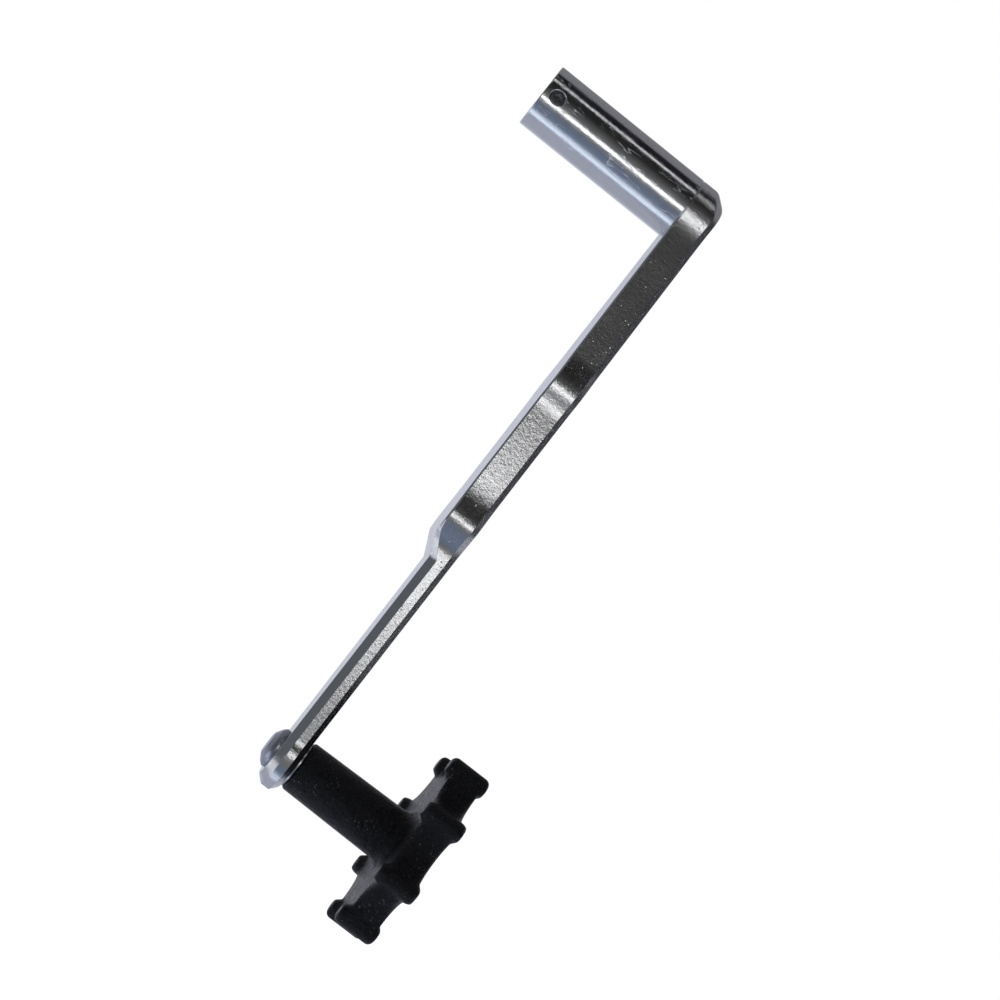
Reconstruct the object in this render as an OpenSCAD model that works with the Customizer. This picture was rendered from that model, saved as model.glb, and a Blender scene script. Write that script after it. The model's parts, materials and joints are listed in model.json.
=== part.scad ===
// Crank handle for a window operator: a drive shank with a socket and set screw, a waved flat
// arm, and a star knob that spins on a riveted pivot on the far side of the arm.
// Frame: the origin is the centre of the socket's mouth, +X runs along the drive axis towards
// the arm, and the arm hangs down along -Z.

/* [Drive shank] */
// Outside diameter of the shank, and of the arm's boss
shank_d = 19.05; // [16:0.05:25]
// Length of the shank from its mouth to the arm
shank_len = 49.2; // [40:0.1:80]
// Diameter of the socket
socket_d = 12.7; // [6:0.05:12.8]
// Depth of the socket
socket_depth = 32; // [12:0.5:32]
// Width of the bevel round the outside of the shank's free end
shank_bevel = 0.4; // [0.1:0.1:1]

/* [Set screw] */
// Nominal diameter of the set screw
set_d = 4.17; // [3:0.01:5]
// Distance of the set screw from the mouth
set_x = 4.1; // [3.5:0.1:8]
// Angle of the set screw above the horizontal
set_angle = 0; // [-80:1:80]
// Depth of the set screw's outer end below the shank's surface
set_recess = 0.2; // [0.1:0.05:0.5]
// Width across the flats of its hex socket
set_hex = 1.98; // [1.2:0.01:2.5]

/* [Arm] */
// Distance between the drive axis and the knob's axis
arm_throw = 182.8; // [170:0.1:195]
// Thickness of the upper arm
arm_t = 9.525; // [8:0.025:12]
// Thickness of the lower bar and the eye
bar_t = 6.35; // [5:0.05:7]
// Radius of the eye
eye_r = 10; // [9.6:0.1:12]
// Half width of the lower bar
bar_h = 8.8; // [7.5:0.1:9]
// Bevel along the outer side of the arm
bevel_out = 2.0; // [0.5:0.1:2.5]
// Bevel along the shank side of the upper arm
bevel_in = 0.5; // [0.3:0.1:1]
// Bevel along the shank side of the lower bar and the eye
bevel_eye = 2.0; // [0.5:0.1:2.5]

/* [Pivot] */
// Diameter of the rivet's shank
rivet_d = 7; // [6:0.1:7.5]
// Diameter of the rivet's head
head_d = 12; // [10:0.1:15]
// Height of the rivet's head
head_h = 3; // [2:0.1:4]
// Outside diameter of the sleeve that the knob spins on
sleeve_d = 9; // [8.6:0.1:9.4]
// Radial running clearance of the knob on its sleeve
running_gap = 0.05; // [0.02:0.01:0.1]
// Axial play of the knob at each end
end_play = 0.1; // [0.05:0.05:0.3]

/* [Knob] */
// Diameter of the stem beside the arm
stem_d = 14.8; // [14.5:0.1:17]
// Diameter of the stem where it meets the star
stem_root_d = 15.6; // [15:0.1:18]
// Radius over the lobes of the star
star_r = 28.8; // [27:0.1:35]
// Number of lobes
lobes = 8; // [6:1:9]
// Diameter of the rib at the tip of each lobe
rib_d = 6; // [5:0.1:7]
// Distance from the arm to the back of the lobes
lobe_back = 31.6; // [30:0.1:33]
// Distance from the arm to the front of the lobes
lobe_front = 43.8; // [43.6:0.1:46]
// Turn of the knob from having a gap straight up
knob_turn = 4.5; // [0:0.5:45]

/* [Hidden] */
$fn = 96;
eps = 0.01;

// Places along X
arm_in = shank_len;                    // shank side of the upper arm
arm_out = arm_in + arm_t;              // outer side of the arm
bar_in = arm_out - bar_t;              // shank side of the lower bar

// Places down the arm, measured from the drive axis
neck_s = 8.5;                          // where the boss runs into the neck
step_start = 107.5;                    // the thickness step starts here
step_end = 117.7;                      // and ends here
flare_s = arm_throw - 8.2;             // where the bar starts to flare into the eye
eye_angle = 64;                        // the eye's round starts at this angle from the bar
boss_r = shank_d / 2;
neck_h = boss_r * 0.905;

// Half width at stations down the arm. Each row is distance, half width, and 1 where the edge
// eases in a smooth wave from the row above, or 0 where it runs straight from it.
EDGE = [
    [neck_s, neck_h, 0],
    [14, neck_h + 0.15, 1],
    [48, 11.7, 0],
    [59.6, 13.0, 1],                   // first crest
    [66, 12.0, 1],
    [94, 12.0, 0],
    [104.5, 13.5, 1],                  // second crest
    [112.3, bar_h, 1],
    [step_end, bar_h, 1],
    [flare_s, bar_h, 0],
];
wave_steps = 10;                       // stations in each eased stretch
arc_step = 6;                          // degrees between stations on the round ends
tip_angle = 4;                         // the round ends stop this far short of the centre line

// Screw and dowels between arm and shank
screw_d = 6.35;
screw_head_d = 12;
screw_head_h = 3.2;
screw_reach = 12;                      // length of the screw in the shank
screw_hex = 3.97;
hex_depth = 2.2;
dowel_d = 3;
dowel_reach = 5;                       // length of each dowel in arm and in shank
dowel_pitch = 6.9;                     // distance of each dowel from the drive axis

// Set screw
set_gap = 0.035;                       // radial gap that stands for the thread's clearance
set_len = (shank_d - socket_d) / 2 - set_recess - 0.05;
set_hex_depth = 1.3;

// Knob: distances from the arm's outer face
washer_t = 0.5;
knob_start = washer_t + end_play;
sleeve_len = 38;
front_washer_t = 1.2;
tail_base = sleeve_len + front_washer_t;
tail_h = 1.8;
tail_d = 10.5;
bush_wall = 1.2;
bush_len = 12;
bush_start = 1.2;
pocket_floor = sleeve_len - end_play;  // floor of the pocket for the front washer
pocket_r = 8.5;
cap_seat = 41.4;                       // where the cap's rim rests
cap_r = 10.5;
cap_rim_t = 1.4;
cap_crown = 0.8;
cap_skirt_len = 1.8;
cap_skirt_t = 1.2;
hub_r = 13;
hub_front = cap_seat + cap_rim_t;
web_back = 33.4;
web_front = 42.6;
root_fillet = 3;
stem_round = 1;
rib_round = 2;
scallop_r = 9.5;
scallop_at = star_r + 3;               // distance of each scallop's centre from the axis

bush_bore_r = sleeve_d / 2 + running_gap;
knob_bore_r = bush_bore_r + bush_wall;

STEEL = [0.72, 0.73, 0.75];
BRIGHT = [0.80, 0.81, 0.84];
BLACK = [0.06, 0.06, 0.07];
BLUED = [0.16, 0.16, 0.18];
BRONZE = [0.70, 0.52, 0.30];

// ---- helpers ----

function ease(t) = let (u = min(max(t, 0), 1)) u * u * (3 - 2 * u);
function mix(a, b, t) = a + (b - a) * t;

// turns a solid made along +Z so that it runs along +X from x
module along_x(x = 0) { translate([x, 0, 0]) rotate([0, 90, 0]) children(); }

// places a child on the knob's axis, x millimetres out from the arm's outer face
module on_pivot(x = 0) { translate([0, 0, -arm_throw]) along_x(arm_out + x) children(); }

module ring(d_out, d_in, h) {
    difference() {
        cylinder(d = d_out, h = h);
        translate([0, 0, -1]) cylinder(d = d_in, h = h + 2);
    }
}

module hex(flats, h) { cylinder(d = flats / cos(30), h = h, $fn = 6); }

// ---- arm ----

// one stretch of the edge, from row i - 1 to row i, as [distance, half width]
function stretch(i) =
    let (a = EDGE[i - 1], b = EDGE[i], n = b[2] == 1 ? wave_steps : 1)
    [for (k = [1:n]) let (t = k / n)
        [mix(a[0], b[0], t), mix(a[1], b[1], b[2] == 1 ? ease(t) : t)]];

// half outline from the top of the boss to the bottom of the eye, as [distance, half width]
boss_stop = 180 - asin(neck_h / boss_r);
HALF = concat(
    [for (a = [tip_angle:arc_step:boss_stop]) boss_r * [-cos(a), sin(a)]],
    [[EDGE[0][0], EDGE[0][1]]],
    [for (i = [1:len(EDGE) - 1]) each stretch(i)],
    [for (a = [eye_angle:arc_step:180 - tip_angle]) [arm_throw, 0] + eye_r * [-cos(a), sin(a)]]
);
last = len(HALF) - 1;

// outward normal of the outline at point i
function normal_at(i) =
    let (a = i == 0 ? [HALF[0][0], -HALF[0][1]] : HALF[i - 1],
         b = i == last ? [HALF[last][0], -HALF[last][1]] : HALF[i + 1], t = b - a)
    [-t[1], t[0]] / norm(t);

// the shank side of the arm steps back, and its bevel grows, between the two step distances
function step_part(s) = min(max((s - step_start) / (step_end - step_start), 0), 1);
function face_x(s) = mix(arm_in, bar_in, step_part(s));
function bevel_at(s) = mix(bevel_in, bevel_eye, step_part(s));

// the eight corners of the arm's section at outline point i
function section(i) =
    let (p = HALF[i], n = normal_at(i), b = bevel_at(p[0]), q = p - b * n, r = p - bevel_out * n,
         near = [[face_x(q[0]), q[1], -q[0]], [face_x(p[0]) + b, p[1], -p[0]],
                 [arm_out - bevel_out, p[1], -p[0]], [arm_out, r[1], -r[0]]])
    concat(near, [for (k = [3:-1:0]) [near[k][0], -near[k][1], near[k][2]]]);

module arm_blank() {
    corners = 8;
    walls = [for (i = [0:last - 1], k = [0:corners - 1])
        let (a = corners * i + k, b = corners * i + (k + 1) % corners)
        each [[a, b, b + corners], [a, b + corners, a + corners]]];
    cap = [[0, 1, 6], [0, 6, 7], [1, 2, 5], [1, 5, 6], [2, 3, 4], [2, 4, 5]];
    top = [for (f = cap) [f[2], f[1], f[0]]];
    bottom = [for (f = cap) [for (v = f) v + corners * last]];
    polyhedron([for (i = [0:last]) each section(i)], concat(walls, top, bottom));
}

module arm() {
    color(BRIGHT) difference() {
        arm_blank();
        // counterbored hole for the low-head screw into the shank
        along_x(arm_in - 1) cylinder(d = screw_d, h = arm_t + 2);
        along_x(arm_out - screw_head_h) cylinder(d = screw_head_d, h = screw_head_h + 1);
        for (side = [-1, 1])
            translate([0, 0, side * dowel_pitch]) along_x(arm_in - 1)
                cylinder(d = dowel_d, h = dowel_reach + 1);
        on_pivot(-arm_t) cylinder(d = rivet_d, h = arm_t + 1);
    }
}

// ---- drive shank and its fasteners ----

module drive_shank() {
    color(STEEL) difference() {
        along_x() rotate_extrude()
            polygon([[0, 0], [boss_r - shank_bevel, 0], [boss_r, shank_bevel], [boss_r, shank_len],
                     [0, shank_len]]);
        along_x(-eps) cylinder(d = socket_d, h = socket_depth + eps);
        at_set_screw() cylinder(d = set_d, h = shank_d);
        along_x(arm_in - screw_reach) cylinder(d = screw_d, h = screw_reach + 1);
        for (side = [-1, 1])
            translate([0, 0, side * dowel_pitch]) along_x(arm_in - dowel_reach)
                cylinder(d = dowel_d, h = dowel_reach + 1);
    }
}

module shank_screw() {
    color(BLUED) difference() {
        union() {
            along_x(arm_in - screw_reach) cylinder(d = screw_d, h = screw_reach + arm_t - screw_head_h);
            along_x(arm_out - screw_head_h) cylinder(d = screw_head_d, h = screw_head_h);
        }
        along_x(arm_out - hex_depth) hex(screw_hex, hex_depth + 1);
    }
}

module shank_dowels() {
    color(STEEL) for (side = [-1, 1])
        translate([0, 0, side * dowel_pitch]) along_x(arm_in - dowel_reach)
            cylinder(d = dowel_d, h = 2 * dowel_reach);
}

// a child's +Z points out of the shank on the -Y side, raised by set_angle
module at_set_screw(out = 0) {
    translate([set_x, 0, 0]) rotate([90 - set_angle, 0, 0]) translate([0, 0, out]) children();
}

module set_screw() {
    color(BLUED) at_set_screw(shank_d / 2 - set_recess - set_len) difference() {
        cylinder(r = set_d / 2 - set_gap, h = set_len);
        translate([0, 0, set_len - set_hex_depth]) hex(set_hex, set_hex_depth + 1);
    }
}

// ---- pivot ----

module pivot_rivet() {
    head_top_d = head_d * 0.5;
    color(STEEL) on_pivot() {
        // pan head against the shank side of the eye
        translate([0, 0, -bar_t - head_h]) rotate_extrude()
            polygon([[0, 0], [head_top_d / 2, 0], [head_d / 2 - 1.1, head_h * 0.4],
                     [head_d / 2, head_h * 0.8], [head_d / 2, head_h], [0, head_h]]);
        translate([0, 0, -bar_t - eps]) cylinder(d = rivet_d, h = bar_t + tail_base + 2 * eps);
        // closed tail over the front washer
        translate([0, 0, tail_base]) rotate_extrude()
            polygon([[0, 0], [tail_d / 2, 0], [tail_d / 2, tail_h * 0.45],
                     [tail_d / 2 - 1.6, tail_h], [0, tail_h]]);
    }
}

module spindle_sleeve() { color(STEEL) on_pivot() ring(sleeve_d, rivet_d, sleeve_len); }

module rear_thrust_washer() {
    color(STEEL) on_pivot() ring(stem_d - 1, sleeve_d, washer_t);
}

module front_thrust_washer() {
    color(STEEL) on_pivot(sleeve_len) ring(2 * pocket_r - 1.6, rivet_d, front_washer_t);
}

// ---- knob ----

module bush() { ring(2 * knob_bore_r, 2 * bush_bore_r, bush_len); }
module rear_bush() { color(BRONZE) on_pivot(bush_start) bush(); }
module front_bush() { color(BRONZE) on_pivot(pocket_floor - bush_len) bush(); }

// outline of the web: a disc with a scallop between each pair of lobes
module star_outline() {
    difference() {
        circle(r = star_r - rib_d / 2);
        for (k = [0:lobes - 1])
            rotate(360 / lobes * k - knob_turn) translate([scallop_at, 0]) circle(r = scallop_r);
    }
}

// rounded rib along the tip of one lobe
module rib() {
    half = rib_d / 2;
    straight = lobe_front - lobe_back - 2 * rib_round;
    translate([0, 0, lobe_back]) rotate_extrude() {
        square([half - rib_round, straight + 2 * rib_round]);
        translate([0, rib_round]) square([half, straight]);
        for (z = [rib_round, rib_round + straight])
            translate([half - rib_round, z]) intersection() {
                circle(r = rib_round);
                translate([0, -rib_round]) square([rib_round, 2 * rib_round]);
            }
    }
}

// turned shape of the stem and hub, from the stem's end to the hub's front
module stem_and_hub() {
    root_r = stem_root_d / 2;
    rotate_extrude() polygon(concat(
        [[0, knob_start]],
        [for (a = [0:15:90])
            [stem_d / 2 - stem_round + stem_round * sin(a), knob_start + stem_round * (1 - cos(a))]],
        [for (a = [0:15:90])
            [root_r + root_fillet * (1 - cos(a)), web_back - root_fillet + root_fillet * sin(a)]],
        [[hub_r, web_back], [hub_r, hub_front - 1], [hub_r - 1, hub_front], [0, hub_front]]
    ));
}

module knob_body() {
    color(BLACK) on_pivot() difference() {
        union() {
            stem_and_hub();
            translate([0, 0, web_back]) linear_extrude(web_front - web_back) star_outline();
            for (k = [0:lobes - 1])
                rotate(360 / lobes * (k + 0.5) - knob_turn) translate([star_r - rib_d / 2, 0, 0]) rib();
        }
        translate([0, 0, knob_start - 1]) cylinder(r = knob_bore_r, h = pocket_floor - knob_start + 2);
        translate([0, 0, pocket_floor]) cylinder(r = pocket_r, h = hub_front);
        translate([0, 0, cap_seat]) cylinder(r = cap_r, h = hub_front);
    }
}

module knob_cap() {
    // the crown is an arc from the centre to the rim
    crown_r = (pow(cap_r, 2) + pow(cap_crown, 2)) / (2 * cap_crown);
    crown_angle = asin(cap_r / crown_r);
    color(BLACK) on_pivot(cap_seat) {
        rotate_extrude() polygon(concat(
            [[0, 0], [cap_r, 0]],
            [for (k = [8:-1:0]) let (a = crown_angle * k / 8)
                [crown_r * sin(a), cap_rim_t + cap_crown - crown_r * (1 - cos(a))]]
        ));
        translate([0, 0, -cap_skirt_len])
            ring(2 * pocket_r, 2 * (pocket_r - cap_skirt_t), cap_skirt_len + eps);
    }
}

arm();
drive_shank();
shank_screw();
shank_dowels();
set_screw();
pivot_rivet();
spindle_sleeve();
rear_thrust_washer();
front_thrust_washer();
rear_bush();
front_bush();
knob_body();
knob_cap();
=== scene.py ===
import json
import math

import bmesh
import bpy
from mathutils import Matrix, Vector


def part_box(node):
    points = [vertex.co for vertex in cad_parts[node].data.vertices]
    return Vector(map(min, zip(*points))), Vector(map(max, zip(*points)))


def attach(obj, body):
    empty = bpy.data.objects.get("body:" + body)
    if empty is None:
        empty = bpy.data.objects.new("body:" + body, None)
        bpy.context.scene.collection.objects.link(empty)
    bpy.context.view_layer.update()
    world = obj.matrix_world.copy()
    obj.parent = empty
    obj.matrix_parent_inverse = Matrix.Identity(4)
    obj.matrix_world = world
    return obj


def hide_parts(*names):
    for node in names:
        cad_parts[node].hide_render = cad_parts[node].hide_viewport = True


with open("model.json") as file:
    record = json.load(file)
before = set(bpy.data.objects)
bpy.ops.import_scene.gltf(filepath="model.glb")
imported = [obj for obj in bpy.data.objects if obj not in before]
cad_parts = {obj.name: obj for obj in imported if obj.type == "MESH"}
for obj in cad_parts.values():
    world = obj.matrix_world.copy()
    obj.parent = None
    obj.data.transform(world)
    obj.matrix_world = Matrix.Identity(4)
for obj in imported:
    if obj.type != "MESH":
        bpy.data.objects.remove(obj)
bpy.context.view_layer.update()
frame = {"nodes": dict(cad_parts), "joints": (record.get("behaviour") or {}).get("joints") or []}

MM = 0.001

# ---------------------------------------------------------------- places, from the frame
ARM_LOW, ARM_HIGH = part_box("arm")
SHANK_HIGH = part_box("drive_shank")[1]
SET_LOW, SET_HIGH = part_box("set_screw")
RIVET_LOW, RIVET_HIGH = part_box("pivot_rivet")
CAP_LOW, CAP_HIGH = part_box("knob_cap")
SPIN = next(j for j in frame["joints"] if j["name"] == "knob_spin")

BOSS_R = SHANK_HIGH.z                       # radius of the shank and of the arm's boss
ARM_IN, ARM_OUT = ARM_LOW.x, ARM_HIGH.x     # the two sides of the upper arm
PIVOT_Z = SPIN["pos_m"][2]
THROW = -PIVOT_Z
EYE_R = PIVOT_Z - ARM_LOW.z
OUT_X = (1, 0, 0)                           # along the drive axis, from the shank to the arm
TO_FRONT = (0, -1, 0)                       # out through the side with the set screw


# ---------------------------------------------------------------- small helpers

def ease(t):
    t = min(max(t, 0.0), 1.0)
    return t * t * (3 - 2 * t)


def mix(a, b, t):
    return a + (b - a) * t


def rounded(corners, steps=5):
    """Outline through (x, r, radius) corners, each turned with an arc of its radius."""
    out = []
    for i, (x, r, radius) in enumerate(corners):
        here = Vector((x, r))
        if radius <= 0 or i in (0, len(corners) - 1):
            out.append(here)
            continue
        back = (Vector(corners[i - 1][:2]) - here).normalized()
        on = (Vector(corners[i + 1][:2]) - here).normalized()
        half = back.angle(on) / 2
        reach = radius / math.tan(half)
        start, end = here + back * reach, here + on * reach
        centre = here + (back + on).normalized() * (radius / math.sin(half))
        for k in range(steps + 1):
            a, b = start - centre, end - centre
            turn = a.angle(b)
            t = k / steps
            w0, w1 = math.sin((1 - t) * turn) / math.sin(turn), math.sin(t * turn) / math.sin(turn)
            out.append(centre + a * w0 + b * w1)
    return out


def new_object(name, verts, faces):
    mesh = bpy.data.meshes.new(name)
    mesh.from_pydata([tuple(v) for v in verts], [], faces)
    bm = bmesh.new()
    bm.from_mesh(mesh)
    bmesh.ops.remove_doubles(bm, verts=bm.verts, dist=1e-7)
    bmesh.ops.recalc_face_normals(bm, faces=bm.faces)
    bm.to_mesh(mesh)
    bm.free()
    piece = bpy.data.objects.new(name, mesh)
    bpy.context.scene.collection.objects.link(piece)
    return piece


def lathe(name, profile, centre=(0.0, 0.0), sides=128):
    """Turns an (x, radius) profile about a line along X. A radius of 0 closes an end."""
    verts, rings, faces = [], [], []
    for x, r in profile:
        if r < 1e-9:
            rings.append([len(verts)])
            verts.append((x, centre[0], centre[1]))
            continue
        rings.append(list(range(len(verts), len(verts) + sides)))
        for k in range(sides):
            a = 2 * math.pi * k / sides
            verts.append((x, centre[0] + r * math.cos(a), centre[1] + r * math.sin(a)))
    for one, two in zip(rings, rings[1:]):
        for k in range(sides):
            m = (k + 1) % sides
            if len(one) == 1:
                faces.append((one[0], two[k], two[m]))
            elif len(two) == 1:
                faces.append((one[k], one[m], two[0]))
            else:
                faces.append((one[k], one[m], two[m], two[k]))
    return new_object(name, verts, faces)


def cone(name, middle, direction, start_r, end_r, length, sides=64):
    """A plain cutter round a line, from one radius to another, centred on its middle."""
    mesh = bpy.data.meshes.new(name)
    bm = bmesh.new()
    bmesh.ops.create_cone(bm, cap_ends=True, segments=sides, radius1=start_r, radius2=end_r, depth=length)
    turn = Vector(direction).to_track_quat("Z", "Y").to_matrix().to_4x4()
    bm.transform(Matrix.Translation(middle) @ turn)
    bm.to_mesh(mesh)
    bm.free()
    cutter = bpy.data.objects.new(name, mesh)
    bpy.context.scene.collection.objects.link(cutter)
    return cutter


def rod(name, start, direction, radius, length, sides=64):
    """A plain cutter from start along direction."""
    middle = Vector(start) + Vector(direction) * (length / 2)
    return cone(name, middle, direction, radius, radius, length, sides)


def cut(piece, cutter):
    """Takes the cutter away from the piece and deletes the cutter."""
    step = piece.modifiers.new("cut", "BOOLEAN")
    step.operation, step.solver, step.object = "DIFFERENCE", "EXACT", cutter
    bpy.context.view_layer.update()
    done = bpy.data.meshes.new_from_object(piece.evaluated_get(bpy.context.evaluated_depsgraph_get()))
    piece.modifiers.clear()
    old = piece.data
    piece.data = done
    done.name = old.name
    bpy.data.meshes.remove(old)
    bpy.data.objects.remove(cutter)


def smooth(piece, sharp_degrees=32, weighted=True):
    for face in piece.data.polygons:
        face.use_smooth = True
    piece.data.set_sharp_from_angle(angle=math.radians(sharp_degrees))
    if weighted:
        step = piece.modifiers.new("even_normals", "WEIGHTED_NORMAL")
        step.keep_sharp = True
        step.weight = 90


# ---------------------------------------------------------------- arm

STEP_START, STEP_END = 110.8 * MM, 118 * MM        # the thickness step on the shank side
WIDEN_START, WIDEN_END = 107.8 * MM, 118.2 * MM    # where the shank side's bevel grows
BAR_T = 6.35 * MM                # thickness of the lower bar and the eye
BEVEL_OUT, BEVEL_WIDE = 2.0 * MM, 1.65 * MM        # outer bevel: into the edge, and along the thickness
BEVEL_IN, BEVEL_EYE = 0.5 * MM, 2.2 * MM
CROWN_DEPTH, CROWN_WIDE = 3.4 * MM, 4.3 * MM       # the same bevel over the top of the boss
CROWN_ROUND = 3.0 * MM
EDGE_BREAK = 0.22 * MM           # small round on every long edge of the arm
STATION = 0.5 * MM               # spacing of the arm's sections
FACE_STRIP = 1.2 * MM            # narrow strip of broad face drawn beside each bevel
LEAST_HALF = 0.02 * MM           # half width left where the outline closes at both ends
ARC_STEPS = 40                   # pieces in each round end of the outline
SLOPE_STEPS = 12                 # pieces between two rows of EDGE
# how the front edge runs: distance down the arm, and how many degrees it widens (+) or narrows (-) there
EDGE = [
    (2.7, -16.5), (5.5, -4), (8, 3), (48, 3.6), (51.5, 4),
    (54, 15), (57, 14), (60, 4), (61.8, -6), (64, -17), (66.5, -9), (69, 0),
    (94, 0), (97.5, 3), (101, 15), (103.5, 14), (106.5, -6), (108, -24), (112.5, -28),
    (114, -8), (116, -1), (174, -0.8),
]
EYE_ANGLE = 64                   # degrees: the eye's round starts here, measured from the bar
TIP_ANGLE = 1.5                  # degrees: the round ends stop this far short of the centre line
SEAT_HOLE_R, SEAT_DEPTH = 6.0 * MM, 3.2 * MM       # counterbore for the shank screw's head
SHANK_SCREW_R, RIVET_R = 3.175 * MM, 3.5 * MM
SEAT_CUT, THROUGH = 6 * MM, 12 * MM                # lengths of the cutters for the seat and the holes


def half_outline():
    """(distance, half width) points along the arm, from the top of the boss to the bottom of the eye."""
    points = []
    boss_stop = 90 - EDGE[0][1]
    for k in range(ARC_STEPS + 1):
        a = math.radians(mix(TIP_ANGLE, boss_stop, k / ARC_STEPS))
        points.append(Vector((-BOSS_R * math.cos(a), BOSS_R * math.sin(a))))
    for (s0, slope0), (s1, slope1) in zip(EDGE, EDGE[1:]):
        for k in range(SLOPE_STEPS):
            slope = math.radians(mix(slope0, slope1, (k + 0.5) / SLOPE_STEPS))
            ahead = (s1 - s0) / SLOPE_STEPS * MM
            points.append(points[-1] + Vector((ahead, ahead * math.tan(slope))))
    for k in range(ARC_STEPS + 1):
        a = math.radians(mix(EYE_ANGLE, 180 - TIP_ANGLE, k / ARC_STEPS))
        points.append(Vector((THROW - EYE_R * math.cos(a), EYE_R * math.sin(a))))
    return points


def even_points(points, spacing):
    """The same line with points a fixed distance apart."""
    lengths = [0.0]
    for a, b in zip(points, points[1:]):
        lengths.append(lengths[-1] + (b - a).length)
    count = max(2, round(lengths[-1] / spacing))
    out, i = [], 0
    for k in range(count + 1):
        want = lengths[-1] * k / count
        while i < len(points) - 2 and lengths[i + 1] < want:
            i += 1
        t = (want - lengths[i]) / max(lengths[i + 1] - lengths[i], 1e-12)
        out.append(points[i].lerp(points[i + 1], t))
    return out


def relaxed(points, passes):
    """Rounds the corners of a line and leaves its ends."""
    for _ in range(passes):
        points = [points[0]] + [
            (a + 2 * b + c) / 4 for a, b, c in zip(points, points[1:], points[2:])
        ] + [points[-1]]
    return points


def arm():
    line = relaxed(even_points(half_outline(), STATION), 5)
    last = len(line) - 1

    def step_part(s):
        return min(max((s - STEP_START) / (STEP_END - STEP_START), 0.0), 1.0)

    def widen_part(s):
        return min(max((s - WIDEN_START) / (WIDEN_END - WIDEN_START), 0.0), 1.0)

    def section(i):
        """(inset, x) corners of the section at outline point i, from the shank side to the outer side."""
        t = step_part(line[i].x)
        bevel = mix(BEVEL_IN, BEVEL_EYE, widen_part(line[i].x))
        face = mix(ARM_IN, ARM_OUT - BAR_T, t)
        crown = ease(min(max(-line[i].x / BOSS_R, 0.0), 1.0))
        depth, width = mix(BEVEL_OUT, CROWN_DEPTH, crown), mix(BEVEL_WIDE, CROWN_WIDE, crown)
        turn = mix(EDGE_BREAK, CROWN_ROUND, crown)
        corners = [
            (bevel + FACE_STRIP, face, 0), (bevel, face, EDGE_BREAK), (0, face + bevel, EDGE_BREAK),
            (0, ARM_OUT - width, turn), (depth, ARM_OUT, turn), (depth + FACE_STRIP, ARM_OUT, 0),
        ]
        return rounded(corners, 5)

    verts, faces = [], []
    for i, p in enumerate(line):
        before = line[i - 1] if i else Vector((line[0].x, -line[0].y))
        after = line[i + 1] if i < last else Vector((line[last].x, -line[last].y))
        along = (after - before).normalized()
        outward = Vector((-along.y, along.x))
        side = []
        for inset, x in section(i):
            q = p - outward * inset
            # the face follows the thickness step where this point really lies
            x_shift = 0.0
            if x < ARM_OUT - BAR_T / 2:
                x_shift = (step_part(q.x) - step_part(p.x)) * (ARM_OUT - BAR_T - ARM_IN)
            side.append((x + x_shift, max(q.y, LEAST_HALF), -q.x))
        verts += side + [(x, -y, z) for x, y, z in reversed(side)]
    ring = 2 * len(section(0))
    for i in range(last):
        for k in range(ring):
            m = (k + 1) % ring
            faces.append((ring * i + k, ring * i + m, ring * (i + 1) + m, ring * (i + 1) + k))
    half = ring // 2
    for start in (0, ring * last):
        for k in range(half - 1):
            mirror = start + ring - 1 - k
            faces.append((start + k, start + k + 1, mirror - 1, mirror))
    piece = new_object("arm_body", verts, faces)
    cut(piece, rod("screw_seat", (ARM_OUT - SEAT_DEPTH, 0, 0), OUT_X, SEAT_HOLE_R, SEAT_CUT, 96))
    cut(piece, rod("screw_hole", (ARM_IN - MM, 0, 0), OUT_X, SHANK_SCREW_R, THROUGH))
    cut(piece, rod("rivet_hole", (ARM_IN, 0, PIVOT_Z), OUT_X, RIVET_R, THROUGH))
    smooth(piece)
    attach(piece, "crank")
    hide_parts("arm")
    return piece


# ---------------------------------------------------------------- drive shank and screws

SOCKET_R, SOCKET_DEPTH = 6.35 * MM, 32 * MM
SCREW_REACH = 12 * MM            # how far the shank screw goes into the shank
SET_X = (SET_LOW.x + SET_HIGH.x) / 2
SET_R, SET_HOLE_R = 2.05 * MM, 2.085 * MM
SINK_IN_R, SINK_OUT_R, SINK_T = 2.0 * MM, 3.2 * MM, 1.2 * MM       # countersink round the set screw
SINK_LIFT = 0.12 * MM            # how far the middle of that cone is outside the shank
SHANK_THREAD_PITCH, SET_THREAD_PITCH = 1.27 * MM, 0.5 * MM


def drive_shank():
    profile = rounded([
        (SOCKET_DEPTH, 0, 0), (SOCKET_DEPTH, SOCKET_R, 0.3 * MM), (0, SOCKET_R, 0.25 * MM),
        (0, BOSS_R, 0.45 * MM), (SHANK_HIGH.x, BOSS_R, 0.12 * MM), (SHANK_HIGH.x, SHANK_SCREW_R, 0),
        (SHANK_HIGH.x - SCREW_REACH, SHANK_SCREW_R, 0), (SHANK_HIGH.x - SCREW_REACH, 0, 0),
    ])
    piece = lathe("shank_body", profile, sides=192)
    cut(piece, rod("set_hole", (SET_X, 0, 0), TO_FRONT, SET_HOLE_R, 2 * BOSS_R, 64))
    sink_middle = (SET_X, -BOSS_R - SINK_LIFT, 0)
    cut(piece, cone("sink", sink_middle, TO_FRONT, SINK_IN_R, SINK_OUT_R, SINK_T))
    smooth(piece)
    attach(piece, "crank")
    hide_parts("drive_shank")
    return piece


def hex_cutter(start, direction, flats, length):
    """A six-sided cutter, measured across its flats."""
    return rod("hex", start, direction, flats / 2 / math.cos(math.pi / 6), length, 6)


def turned_about_y(piece, x):
    """Stands a lathe shape, made along X from 0, on the line that points along -Y at x."""
    piece.data.transform(Matrix.Translation((x, 0, 0)) @ Matrix.Rotation(-math.pi / 2, 4, "Z"))


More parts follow.
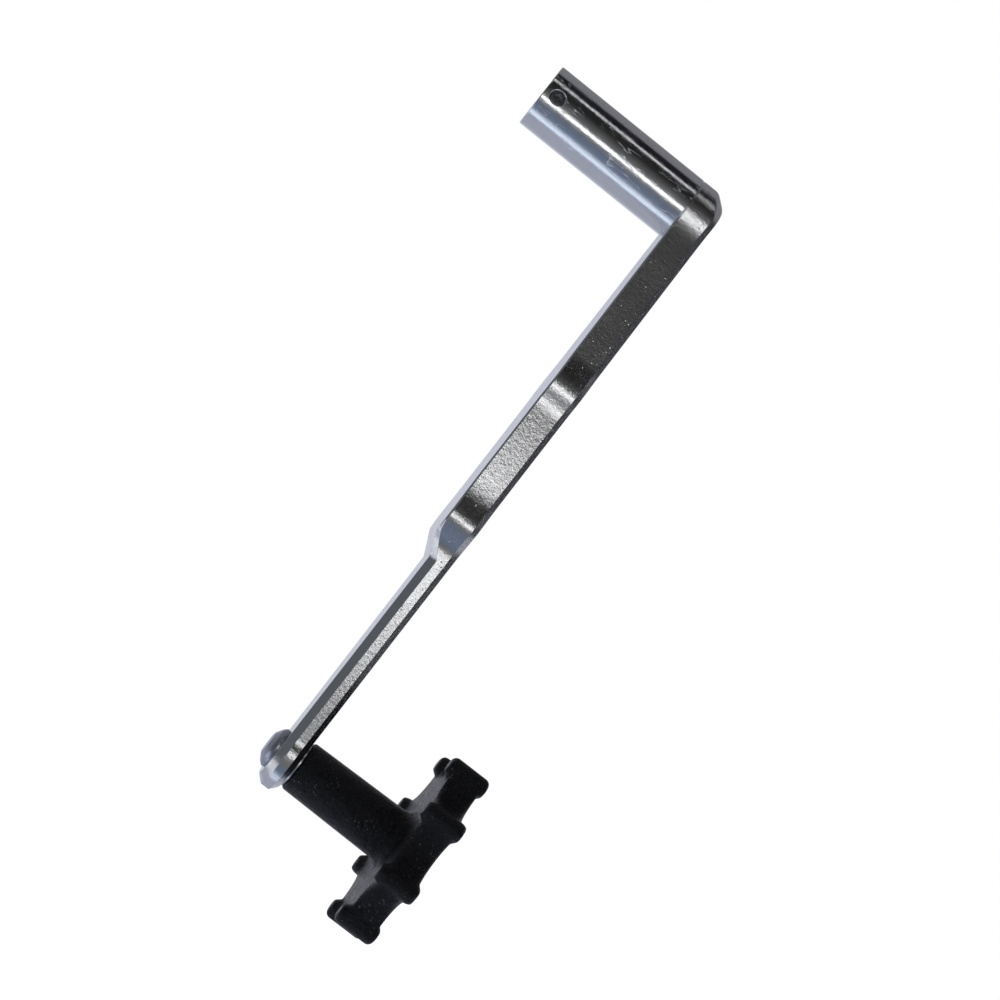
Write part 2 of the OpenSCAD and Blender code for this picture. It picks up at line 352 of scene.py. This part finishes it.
def set_screw():
    """Headless screw with thread grooves, a cup point and a hex socket."""
    tip, top = -SET_HIGH.y, -SET_LOW.y
    groove, edge = 0.28 * MM, 0.05 * MM
    flats, socket_depth = 2.2 * MM, 1.3 * MM
    corners = [(tip + 0.35 * MM, 0, 0), (tip, 1.0 * MM, edge), (tip + 0.45 * MM, SET_R - 0.1 * MM, edge)]
    x = tip + 0.6 * MM
    while x + SET_THREAD_PITCH < top - 0.25 * MM:
        corners += [(x, SET_R, 0.03 * MM), (x + SET_THREAD_PITCH / 2, SET_R - groove, 0.04 * MM)]
        x += SET_THREAD_PITCH
    corners += [(x, SET_R, 0.03 * MM), (top - 0.18 * MM, SET_R, edge)]
    corners += [(top, SET_R - 0.2 * MM, edge), (top, 0, 0)]
    piece = lathe("set_screw_body", rounded(corners, 3), sides=64)
    turned_about_y(piece, SET_X)
    cut(piece, hex_cutter((SET_X, -(top - socket_depth), 0), TO_FRONT, flats, 3 * MM))
    smooth(piece, weighted=False)
    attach(piece, "clamp_screw")
    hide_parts("set_screw")
    return piece


def shank_screw():
    """Low-head screw with a hex socket, sunk just under the outer side of the arm."""
    start, head, top = ARM_IN - SCREW_REACH, ARM_OUT - SEAT_DEPTH, ARM_OUT - 0.05 * MM
    crest, root = SHANK_SCREW_R - 0.02 * MM, SHANK_SCREW_R - 0.6 * MM
    head_r, thread_round = SEAT_HOLE_R - 0.03 * MM, 0.08 * MM
    flats, socket_depth = 3.97 * MM, 2.2 * MM
    point, point_r = start + 0.5 * MM, SHANK_SCREW_R - 0.5 * MM
    corners = [(start, 0, 0), (start, point_r, 0.1 * MM), (point, crest, 0.1 * MM)]
    x = start + 0.9 * MM
    while x + SHANK_THREAD_PITCH < ARM_IN:
        corners += [(x, crest, thread_round), (x + SHANK_THREAD_PITCH / 2, root, thread_round)]
        x += SHANK_THREAD_PITCH
    corners += [(x, crest, thread_round), (head, crest, 0), (head, head_r, 0.15 * MM)]
    corners += [(top, head_r, 0.35 * MM), (top, 0, 0)]
    piece = lathe("shank_screw_body", rounded(corners, 3), sides=96)
    cut(piece, hex_cutter((ARM_OUT - socket_depth, 0, 0), OUT_X, flats, 4 * MM))
    smooth(piece, weighted=False)
    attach(piece, "crank")
    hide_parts("shank_screw")
    return piece


# ---------------------------------------------------------------- pivot

def pivot_rivet():
    """Pan head on the shank side, and a closed tail under the knob's cap."""
    head_top, face = RIVET_LOW.x, ARM_OUT - BAR_T
    head_r, tail_r = RIVET_HIGH.z - PIVOT_Z, 5.25 * MM
    tail_base, tail_top = RIVET_HIGH.x - 1.8 * MM, RIVET_HIGH.x
    profile = rounded([
        (head_top, 0, 0), (head_top, 3.1 * MM, 1.4 * MM), (head_top + 1.25 * MM, 5.1 * MM, 1.2 * MM),
        (face - 0.75 * MM, head_r, 0.5 * MM), (face, head_r - 0.1 * MM, 0.15 * MM), (face, RIVET_R, 0),
        (tail_base, RIVET_R, 0), (tail_base, tail_r, 0.2 * MM),
        (mix(tail_base, tail_top, 0.5), tail_r, 0.5 * MM), (tail_top, 3.6 * MM, 0.8 * MM),
        (tail_top, 1.2 * MM, 0.2 * MM), (tail_top - 0.25 * MM, 0, 0),
    ])
    piece = lathe("rivet_body", profile, (0.0, PIVOT_Z), 128)
    smooth(piece, weighted=False)
    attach(piece, "crank")
    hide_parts("pivot_rivet")
    return piece


# ---------------------------------------------------------------- knob

LOBES = 8
KNOB_TURN = 4.5                  # degrees from having a gap straight up
STAR_R = 28.8 * MM               # radius over the lobes
RIB_R = 3.0 * MM
RIB_AT = STAR_R - RIB_R
SCALLOP_R, SCALLOP_AT = 9.5 * MM, STAR_R + 3 * MM
WEB_BACK, WEB_FRONT = 33.4 * MM, 42.6 * MM         # from the arm's outer side, as all below
LOBE_BACK, LOBE_FRONT = 31.6 * MM, 43.8 * MM
STEM_START, STEM_R, STEM_ROUND = 0.6 * MM, 7.4 * MM, 1.1 * MM
ROOT_R, ROOT_FILLET = 7.8 * MM, 3.0 * MM           # where the stem meets the star
RIM_ROUND = 1.7 * MM                               # rounding of the star's rim
RIB_TOP, RIB_FLANK = 1.7 * MM, 1.9 * MM            # radius of a rib's flat top, and how far it takes to fade
HUB_R, HUB_FRONT, HUB_ROUND = 13 * MM, 42.8 * MM, 0.08 * MM
HUB_MARGIN = 0.9 * MM                              # the web's front stops this far outside the hub
SEAT_R, SEAT = 10.5 * MM, 41.4 * MM
POCKET_R, POCKET_FLOOR = 8.5 * MM, 37.9 * MM
BORE_R = 5.75 * MM
KNOB_SIDES = 480                 # a multiple of the lobes
STEM_STEPS, WEB_STEPS, RIM_STEPS = 12, 30, 7       # pieces along the stem, the web and the rim
CAP_RIM_T, CAP_SKIRT_T, CAP_GAP = 1.4 * MM, 1.2 * MM, 0.06 * MM
CAP_FLAT_R = SEAT_R - MM         # where the cap's crown ends


def quarter(steps):
    """(sine, cosine) of the angles of a quarter turn, in this many steps."""
    return [(math.sin(math.pi / 2 * k / steps), math.cos(math.pi / 2 * k / steps)) for k in range(steps + 1)]


def rim_radius(degrees):
    """Radius of the star's outline, for an angle measured from the middle of a lobe."""
    a = math.radians(abs(degrees))
    b = math.pi / LOBES - a
    reach = RIB_AT
    if SCALLOP_AT * math.sin(b) < SCALLOP_R:
        scallop = SCALLOP_AT * math.cos(b) - math.sqrt(SCALLOP_R ** 2 - (SCALLOP_AT * math.sin(b)) ** 2)
        reach = min(reach, scallop)
    if RIB_AT * math.sin(a) < RIB_R:
        rib = RIB_AT * math.cos(a) + math.sqrt(RIB_R ** 2 - (RIB_AT * math.sin(a)) ** 2)
        reach = max(reach, rib)
    return reach


def rib_rise(r, degrees):
    """How much of a rib's full height the web has at this place, from 0 to 1."""
    a = math.radians(degrees)
    d = math.sqrt(max(r * r + RIB_AT ** 2 - 2 * r * RIB_AT * math.cos(a), 0.0))
    return 1 - ease((d - RIB_TOP) / RIB_FLANK)


def knob_section(reach, degrees):
    """(u, r) points round one half section of the knob: stem's end, stem, star, hub, pocket and bore."""
    points = []
    stem_end, stem_stop = STEM_START + STEM_ROUND, WEB_BACK - ROOT_FILLET
    for sine, cosine in quarter(5):                      # rounded end of the stem
        points.append((stem_end - STEM_ROUND * cosine, STEM_R - STEM_ROUND * (1 - sine)))
    for k in range(1, STEM_STEPS):
        t = k / STEM_STEPS
        points.append((mix(stem_end, stem_stop, t), mix(STEM_R, ROOT_R, t)))
    for sine, cosine in quarter(8):                      # fillet into the star
        points.append((stem_stop + ROOT_FILLET * sine, ROOT_R + ROOT_FILLET * (1 - cosine)))
    edge_r = reach - RIM_ROUND
    for k in range(1, WEB_STEPS + 1):                    # back of the star, with its ribs
        r = mix(ROOT_R + ROOT_FILLET, edge_r, k / WEB_STEPS)
        back = mix(WEB_BACK, LOBE_BACK, rib_rise(r, degrees))
        points.append((back, r))
    front_edge = mix(WEB_FRONT, LOBE_FRONT, rib_rise(edge_r, degrees))
    for sine, cosine in quarter(RIM_STEPS)[1:]:
        points.append((back + RIM_ROUND * (1 - cosine), edge_r + RIM_ROUND * sine))
    for k in range(1, RIM_STEPS):
        points.append((mix(back + RIM_ROUND, front_edge - RIM_ROUND, k / RIM_STEPS), reach))
    for sine, cosine in quarter(RIM_STEPS):
        points.append((front_edge - RIM_ROUND * (1 - sine), edge_r + RIM_ROUND * cosine))
    for k in range(1, WEB_STEPS + 1):                    # front of the star
        r = mix(edge_r, HUB_R + HUB_MARGIN, k / WEB_STEPS)
        points.append((mix(WEB_FRONT, LOBE_FRONT, rib_rise(r, degrees)), r))
    hub = rounded([
        (WEB_FRONT, HUB_R + HUB_MARGIN, 0), (WEB_FRONT, HUB_R, HUB_ROUND), (HUB_FRONT, HUB_R, HUB_ROUND),
        (HUB_FRONT, SEAT_R, 0.2 * MM), (SEAT, SEAT_R, 0), (SEAT, POCKET_R, 0), (POCKET_FLOOR, POCKET_R, 0),
        (POCKET_FLOOR, BORE_R, 0), (STEM_START, BORE_R, 0.3 * MM),
        (STEM_START, STEM_R - STEM_ROUND, 0),
    ], 4)
    return points + [(p.x, p.y) for p in hub[1:-1]]


def knob_body():
    """Stem and star in one moulding, made of half sections set round the spinning axis."""
    step = 360 / KNOB_SIDES
    pitch = 360 / LOBES
    local = [((k * step + pitch / 2) % pitch) - pitch / 2 for k in range(KNOB_SIDES)]
    reach = [rim_radius(a) for a in local]
    for _ in range(6):                                   # softens the corners of the rim's outline
        reach = [(reach[k - 1] + 2 * reach[k] + reach[(k + 1) % KNOB_SIDES]) / 4 for k in range(KNOB_SIDES)]
    verts, faces = [], []
    for k in range(KNOB_SIDES):
        a = math.radians(k * step + pitch / 2 + KNOB_TURN)
        for u, r in knob_section(reach[k], local[k]):
            verts.append((ARM_OUT + u, -r * math.cos(a), PIVOT_Z + r * math.sin(a)))
    ring = len(verts) // KNOB_SIDES
    for k in range(KNOB_SIDES):
        n = (k + 1) % KNOB_SIDES
        for i in range(ring):
            m = (i + 1) % ring
            faces.append((ring * k + i, ring * k + m, ring * n + m, ring * n + i))
    piece = new_object("knob_shell", verts, faces)
    smooth(piece, 50, weighted=False)
    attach(piece, "knob")
    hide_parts("knob_body")
    return piece


def knob_cap():
    """Snap-in cap: a skirt in the pocket, a rim on the seat and a low crown."""
    seat, front = ARM_OUT + SEAT, CAP_HIGH.x
    rim, rim_r = seat + CAP_RIM_T, SEAT_R - CAP_GAP
    skirt, skirt_r = CAP_LOW.x, POCKET_R - CAP_SKIRT_T
    crown = front - rim
    crown_r = (CAP_FLAT_R ** 2 + crown ** 2) / (2 * crown)
    corners = [
        (seat, 0, 0), (seat, skirt_r, 0.2 * MM), (skirt, skirt_r, 0.2 * MM),
        (skirt, POCKET_R, 0.3 * MM), (seat, POCKET_R - 0.05 * MM, 0),
        (seat, rim_r, 0.15 * MM), (rim, rim_r, 0.45 * MM),
    ]
    for k in range(12, -1, -1):
        a = math.asin(CAP_FLAT_R / crown_r) * k / 12
        corners.append((front - crown_r * (1 - math.cos(a)), crown_r * math.sin(a), 0))
    piece = lathe("cap_body", rounded(corners, 4), (0.0, PIVOT_Z), 128)
    smooth(piece, weighted=False)
    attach(piece, "knob")
    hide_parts("knob_cap")
    return piece


# ---------------------------------------------------------------- materials

class Nodes:
    """A node material with short ways to add and join nodes."""

    def __init__(self, name):
        self.material = bpy.data.materials.new(name)
        self.material.use_nodes = True
        self.tree = self.material.node_tree
        self.shader = self.tree.nodes["Principled BSDF"]
        self.place = self.add("ShaderNodeTexCoord").outputs["Object"]

    def add(self, kind, **settings):
        node = self.tree.nodes.new(kind)
        for key, value in settings.items():
            setattr(node, key, value)
        return node

    def join(self, output, socket):
        self.tree.links.new(output, socket)

    def scaled(self, x, y, z):
        """Place on the object, in millimetres, stretched by x, y and z."""
        node = self.add("ShaderNodeMapping")
        node.inputs["Scale"].default_value = (1000 * x, 1000 * y, 1000 * z)
        self.join(self.place, node.inputs["Vector"])
        return node.outputs["Vector"]

    def noise(self, vector, scale, detail=3.0, rough=0.5, distortion=0.0):
        node = self.add("ShaderNodeTexNoise")
        node.inputs["Scale"].default_value = scale
        node.inputs["Detail"].default_value = detail
        node.inputs["Roughness"].default_value = rough
        node.inputs["Distortion"].default_value = distortion
        self.join(vector, node.inputs["Vector"])
        return node.outputs["Fac"]

    def cells(self, vector, scale, randomness=1.0):
        node = self.add("ShaderNodeTexVoronoi")
        node.inputs["Scale"].default_value = scale
        node.inputs["Randomness"].default_value = randomness
        self.join(vector, node.inputs["Vector"])
        return node.outputs["Distance"]

    def spread(self, value, from_low, from_high, low, high):
        node = self.add("ShaderNodeMapRange")
        ends = {"From Min": from_low, "From Max": from_high, "To Min": low, "To Max": high}
        for key, number in ends.items():
            node.inputs[key].default_value = number
        self.join(value, node.inputs["Value"])
        return node.outputs["Result"]

    def maths(self, operation, a, b):
        node = self.add("ShaderNodeMath", operation=operation)
        for socket, value in zip(node.inputs, (a, b)):
            if isinstance(value, (int, float)):
                socket.default_value = value
            else:
                self.join(value, socket)
        return node.outputs["Value"]

    def colour(self, factor, low, high):
        node = self.add("ShaderNodeMix", data_type="RGBA")
        self.join(factor, node.inputs["Factor"])
        node.inputs[6].default_value = (*low, 1)
        node.inputs[7].default_value = (*high, 1)
        return node.outputs[2]

    def over(self, factor, base, top):
        node = self.add("ShaderNodeMix", data_type="RGBA")
        self.join(factor, node.inputs["Factor"])
        self.join(base, node.inputs[6])
        node.inputs[7].default_value = (*top, 1)
        return node.outputs[2]

    def hairlines(self, vector, scale, width):
        """Thin wandering lines, 1 on a line and 0 off it."""
        field = self.noise(vector, scale, 1.0, 0.5, 0.6)
        off = self.maths("ABSOLUTE", self.maths("SUBTRACT", field, 0.5), 0.0)
        return self.spread(off, 0.0, width, 1.0, 0.0)

    def bump(self, height, distance, strength=1.0, below=None):
        node = self.add("ShaderNodeBump")
        node.inputs["Strength"].default_value = strength
        node.inputs["Distance"].default_value = distance
        self.join(height, node.inputs["Height"])
        if below is not None:
            self.join(below, node.inputs["Normal"])
        return node.outputs["Normal"]

    def finish(self, colour, rough, normal):
        self.join(colour, self.shader.inputs["Base Color"])
        self.join(rough, self.shader.inputs["Roughness"])
        self.join(normal, self.shader.inputs["Normal"])
        return self.material


def shank_steel():
    """Bright turned bar: fine rings, a few scuffs along it and small pits."""
    n = Nodes("shank_steel")
    n.shader.inputs["Metallic"].default_value = 1.0
    rings = n.noise(n.scaled(14, 0.25, 0.25), 1.0, 2.0, 0.6)
    cloud = n.noise(n.scaled(0.25, 0.25, 0.25), 1.0, 4.0, 0.6)
    grain = n.noise(n.scaled(1.5, 1.5, 1.5), 1.0, 4.0, 0.6)
    scuff_zone = n.spread(n.noise(n.scaled(0.12, 0.3, 0.3), 1.0, 2.0), 0.52, 0.60, 0.0, 1.0)
    scuffs = n.maths("MULTIPLY", n.hairlines(n.scaled(0.11, 0.9, 0.9), 1.0, 0.012), scuff_zone)
    pits = n.spread(n.cells(n.scaled(1.3, 1.3, 1.3), 1.0), 0.06, 0.16, 1.0, 0.0)
    tint = n.colour(cloud, (0.74, 0.75, 0.77), (0.88, 0.89, 0.91))
    tint = n.over(n.maths("MULTIPLY", pits, 0.35), tint, (0.30, 0.30, 0.31))
    rough = n.maths("ADD", n.spread(cloud, 0.35, 0.65, 0.11, 0.18), n.maths("MULTIPLY", scuffs, 0.25))
    height = n.maths("SUBTRACT", n.maths("MULTIPLY", rings, 0.35), n.maths("MULTIPLY", pits, 0.6))
    normal = n.bump(height, 0.004 * MM, 0.8)
    normal = n.bump(grain, 0.030 * MM, 1.0, normal)
    normal = n.bump(scuffs, 0.05 * MM, 1.0, normal)
    return n.finish(tint, rough, normal)


def arm_metal():
    """Bright milled and tumbled metal: dimpled all over, with some small dents and dark pits."""
    n = Nodes("arm_metal")
    n.shader.inputs["Metallic"].default_value = 1.0
    cloud = n.noise(n.scaled(0.12, 0.12, 0.12), 1.0, 4.0, 0.6)
    dimples = n.noise(n.scaled(1.0, 1.0, 1.0), 1.0, 3.0, 0.6, 0.4)
    grain = n.noise(n.scaled(3.0, 3.0, 3.0), 1.0, 4.0, 0.65)
    few = n.spread(n.noise(n.scaled(0.30, 0.30, 0.30), 1.0, 2.0), 0.46, 0.6, 0.0, 1.0)
    pits = n.maths("MULTIPLY", n.spread(n.cells(n.scaled(0.8, 0.8, 0.8), 1.0), 0.06, 0.22, 1.0, 0.0), few)
    tint = n.colour(grain, (0.66, 0.67, 0.68), (0.92, 0.92, 0.93))
    tint = n.over(n.maths("MULTIPLY", pits, 0.4), tint, (0.20, 0.20, 0.21))
    rough = n.maths("ADD", n.spread(cloud, 0.3, 0.7, 0.13, 0.21), n.spread(grain, 0.3, 0.7, -0.03, 0.05))
    normal = n.bump(dimples, 0.065 * MM, 1.0)
    normal = n.bump(grain, 0.042 * MM, 1.0, normal)
    return n.finish(tint, rough, n.bump(n.maths("MULTIPLY", pits, -1.0), 0.05 * MM, 1.0, normal))


def rivet_steel():
    """Zinc-plated rivet: a soft bluish grey with a faint mottle."""
    n = Nodes("rivet_steel")
    n.shader.inputs["Metallic"].default_value = 1.0
    cloud = n.noise(n.scaled(0.5, 0.5, 0.5), 1.0, 4.0, 0.6)
    grain = n.noise(n.scaled(3.5, 3.5, 3.5), 1.0, 3.0, 0.6)
    tint = n.colour(cloud, (0.42, 0.44, 0.49), (0.62, 0.64, 0.70))
    rough = n.spread(cloud, 0.3, 0.7, 0.28, 0.42)
    return n.finish(tint, rough, n.bump(grain, 0.012 * MM, 1.0))


def ground_steel():
    n = Nodes("ground_steel")
    n.shader.inputs["Metallic"].default_value = 1.0
    lines = n.noise(n.scaled(9, 0.4, 0.4), 1.0, 3.0, 0.6)
    tint = n.colour(lines, (0.50, 0.51, 0.52), (0.70, 0.71, 0.72))
    return n.finish(tint, n.spread(lines, 0.3, 0.7, 0.22, 0.36), n.bump(lines, 0.004 * MM, 0.8))


def black_oxide():
    """Dark oxide on steel, worn through to metal in places."""
    n = Nodes("black_oxide")
    n.shader.inputs["Metallic"].default_value = 1.0
    cloud = n.noise(n.scaled(1.2, 1.2, 1.2), 1.0, 4.0, 0.6)
    tint = n.colour(cloud, (0.10, 0.10, 0.11), (0.42, 0.42, 0.44))
    return n.finish(tint, n.spread(cloud, 0.3, 0.7, 0.24, 0.38), n.bump(cloud, 0.01 * MM, 0.8))


def oiled_bronze():
    n = Nodes("oiled_bronze")
    n.shader.inputs["Metallic"].default_value = 1.0
    grain = n.noise(n.scaled(5, 5, 5), 1.0, 4.0, 0.6)
    tint = n.colour(grain, (0.30, 0.19, 0.08), (0.55, 0.38, 0.18))
    return n.finish(tint, n.spread(grain, 0.3, 0.7, 0.35, 0.55), n.bump(grain, 0.02 * MM, 0.9))


def black_plastic():
    """Moulded black plastic with a rough, slightly blotchy skin and a little pale dust."""
    n = Nodes("black_plastic")
    cloud = n.noise(n.scaled(0.14, 0.14, 0.14), 1.0, 4.0, 0.6)
    skin = n.noise(n.scaled(0.8, 0.8, 0.8), 1.0, 5.0, 0.66)
    fine = n.noise(n.scaled(3.2, 3.2, 3.2), 1.0, 3.0, 0.55)
    tint = n.colour(cloud, (0.0012, 0.0013, 0.0020), (0.0040, 0.0043, 0.0060))
    dust = n.spread(n.cells(n.scaled(1.1, 1.1, 1.1), 1.0), 0.10, 0.20, 1.0, 0.0)
    dusty = n.spread(n.noise(n.scaled(0.2, 0.2, 0.2), 1.0, 3.0, 0.6), 0.50, 0.62, 0.0, 1.0)
    tint = n.over(n.maths("MULTIPLY", n.maths("MULTIPLY", dust, dusty), 0.75), tint, (0.17, 0.175, 0.19))
    rough = n.spread(skin, 0.3, 0.7, 0.20, 0.40)
    n.shader.inputs["Specular IOR Level"].default_value = 0.27
    lumps = n.noise(n.scaled(0.34, 0.34, 0.34), 1.0, 3.0, 0.5)
    normal = n.bump(skin, 0.8 * MM, 1.0, n.bump(lumps, 1.1 * MM, 0.8))
    return n.finish(tint, rough, n.bump(fine, 0.05 * MM, 0.9, normal))


# ---------------------------------------------------------------- stage, light and camera

FLOOR_DROP = 0.16                # the floor is this far below the object, in metres
FLOOR_SIZE = 8.0


def floor():
    mesh = bpy.data.meshes.new("floor")
    bm = bmesh.new()
    bmesh.ops.create_grid(bm, x_segments=2, y_segments=2, size=FLOOR_SIZE / 2)
    bm.transform(Matrix.Translation((0, 0, ARM_LOW.z - FLOOR_DROP)))
    bm.to_mesh(mesh)
    bm.free()
    plane = bpy.data.objects.new("floor", mesh)
    bpy.context.scene.collection.objects.link(plane)
    material = bpy.data.materials.new("pale_floor")
    material.use_nodes = True
    shader = material.node_tree.nodes["Principled BSDF"]
    shader.inputs["Base Color"].default_value = (0.95, 0.95, 0.95, 1)
    shader.inputs["Roughness"].default_value = 1.0
    shader.inputs["Emission Color"].default_value = (1, 1, 1, 1)
    shader.inputs["Emission Strength"].default_value = 1.0
    mesh.materials.append(material)
    plane.visible_glossy = False


# the studio round the object, as strips along X: degrees up from straight ahead (-Y), over the top and
# down behind, and how bright it is there
STRIPS = [
    (-180, (0.66, 0.67, 0.76)),
    (-170, (0.62, 0.64, 0.73)),
    (-150, (0.38, 0.40, 0.48)),
    (-92, (0.38, 0.40, 0.48)),
    (-87, (0.30, 0.33, 0.43)),
    (-82, (1.00, 1.12, 1.32)),
    (-72, (0.72, 0.80, 0.95)),
    (-60, (0.16, 0.20, 0.29)),
    (-40, (0.13, 0.16, 0.22)),
    (-24, (0.16, 0.16, 0.17)),
    (-2, (0.13, 0.13, 0.13)),
    (12, (0.075, 0.075, 0.075)),
    (28, (0.02, 0.02, 0.02)),
    (55, (0.01, 0.01, 0.011)),
    (57, (1.5, 1.5, 1.5)),
    (59.2, (1.5, 1.5, 1.5)),
    (60.5, (0.01, 0.01, 0.014)),
    (88, (0.01, 0.01, 0.014)),
    (94, (0.20, 0.20, 0.215)),
    (150, (0.20, 0.20, 0.215)),
    (170, (0.62, 0.64, 0.73)),
    (180, (0.66, 0.67, 0.76)),
]
LEFT_WALL = (0.105, 0.115, 0.13)
RIGHT_WALL, RIGHT_LOW = (0.018, 0.018, 0.020), (0.30, 0.31, 0.33)
WALL_FROM, WALL_TO = 0.80, 0.93  # how far sideways a direction leans where the walls take over
LOW_FROM, LOW_TO = -0.05, -0.28  # how far down it leans where the right wall gets pale


def studio():
    world = bpy.data.worlds.new("studio")
    bpy.context.scene.world = world
    world.use_nodes = True
    tree = world.node_tree
    tree.nodes.clear()
    join = tree.links.new

    def add(kind, **settings):
        node = tree.nodes.new(kind)
        for key, value in settings.items():
            setattr(node, key, value)
        return node

    def maths(operation, *values):
        node = add("ShaderNodeMath", operation=operation)
        for socket, value in zip(node.inputs, values):
            if isinstance(value, (int, float)):
                socket.default_value = value
            else:
                join(value, socket)
        return node.outputs["Value"]

    def between(value, low, high):
        node = add("ShaderNodeMapRange")
        node.inputs["From Min"].default_value, node.inputs["From Max"].default_value = low, high
        join(value, node.inputs["Value"])
        return node.outputs["Result"]

    def blend(part, base, top):
        node = add("ShaderNodeMix", data_type="RGBA")
        join(part, node.inputs["Factor"])
        for socket, colour in ((node.inputs[6], base), (node.inputs[7], top)):
            if isinstance(colour, tuple):
                socket.default_value = (*colour, 1)
            else:
                join(colour, socket)
        return node.outputs[2]

    split = add("ShaderNodeSeparateXYZ")
    join(add("ShaderNodeTexCoord").outputs["Generated"], split.inputs["Vector"])
    x, y, z = split.outputs
    turn = maths("ARCTAN2", z, maths("MULTIPLY", y, -1.0))
    part = maths("ADD", maths("DIVIDE", turn, 2 * math.pi), 0.5)
    ramp = add("ShaderNodeValToRGB")
    join(part, ramp.inputs["Fac"])
    for k, (degrees, colour) in enumerate(STRIPS):
        at = degrees / 360 + 0.5
        stop = ramp.color_ramp.elements[k] if k < 2 else ramp.color_ramp.elements.new(at)
        stop.position = at
        stop.color = (*colour, 1)
    right = blend(between(z, LOW_FROM, LOW_TO), RIGHT_WALL, RIGHT_LOW)
    colour = blend(between(x, WALL_FROM, WALL_TO), ramp.outputs["Color"], right)
    colour = blend(between(x, -WALL_FROM, -WALL_TO), colour, LEFT_WALL)
    soft = add("ShaderNodeBackground")
    plain = add("ShaderNodeBackground")
    choose = add("ShaderNodeMixShader")
    join(colour, soft.inputs["Color"])
    plain.inputs["Color"].default_value = (1, 1, 1, 1)
    join(add("ShaderNodeLightPath").outputs["Is Camera Ray"], choose.inputs["Fac"])
    join(soft.outputs["Background"], choose.inputs[1])
    join(plain.outputs["Background"], choose.inputs[2])
    join(choose.outputs["Shader"], add("ShaderNodeOutputWorld").inputs["Surface"])


# panels of light: name, place, the way it faces, width, height, brightness
PANELS = [
    ("window", (0.05, -0.37, -0.096), (0, 1, 0), 0.5, 0.054, 1.6),
    ("window_glow", (0.05, -0.372, -0.102), (0, 1, 0), 0.5, 0.115, 0.30),
    ("low_panel", (-0.33, 0.04, -0.40), (0.74, -0.14, 0.6), 0.20, 0.17, 0.62),
]


def softbox(name, at, facing, width, height, brightness):
    """A panel of light at a point, facing along a direction. It shows in reflections only."""
    data = bpy.data.lights.new(name, "AREA")
    data.shape, data.size, data.size_y = "RECTANGLE", width, height
    data.energy = brightness * math.pi * width * height
    lamp = bpy.data.objects.new(name, data)
    lamp.location = at
    lamp.rotation_euler = Vector(facing).to_track_quat("-Z", "Y").to_euler()
    lamp.visible_camera = False
    bpy.context.scene.collection.objects.link(lamp)


CAMERA_AT = (0.0, -0.694, -0.1642)
CAMERA_YAW, CAMERA_PITCH, CAMERA_ROLL = -4.84, 5.78, 37.76      # degrees
LENS = 93.5


def camera():
    data = bpy.data.cameras.new("camera")
    data.lens, data.sensor_width = LENS, 36.0
    data.clip_start, data.clip_end = 0.01, 20.0
    view = bpy.data.objects.new("camera", data)
    bpy.context.scene.collection.objects.link(view)
    turn = Matrix.Rotation(math.radians(CAMERA_YAW), 4, "Z")
    turn = turn @ Matrix.Rotation(math.radians(90 + CAMERA_PITCH), 4, "X")
    turn = turn @ Matrix.Rotation(math.radians(CAMERA_ROLL), 4, "Z")
    view.matrix_world = Matrix.Translation(CAMERA_AT) @ turn
    bpy.context.scene.camera = view


# ---------------------------------------------------------------- put together

def dress(piece, material):
    piece.data.materials.clear()
    piece.data.materials.append(material)


camera()
floor()
studio()
for panel in PANELS:
    softbox(*panel)
bpy.context.scene.view_settings.view_transform = "Standard"

dress(arm(), arm_metal())
dress(drive_shank(), shank_steel())
dress(pivot_rivet(), rivet_steel())
blued = black_oxide()
for screw in (set_screw(), shank_screw()):
    dress(screw, blued)
plastic = black_plastic()
for shell in (knob_body(), knob_cap()):
    dress(shell, plastic)
steel = ground_steel()
for node in ("shank_dowels", "spindle_sleeve", "rear_thrust_washer", "front_thrust_washer"):
    dress(frame["nodes"][node], steel)
bronze = oiled_bronze()
for node in ("rear_bush", "front_bush"):
    dress(frame["nodes"][node], bronze)
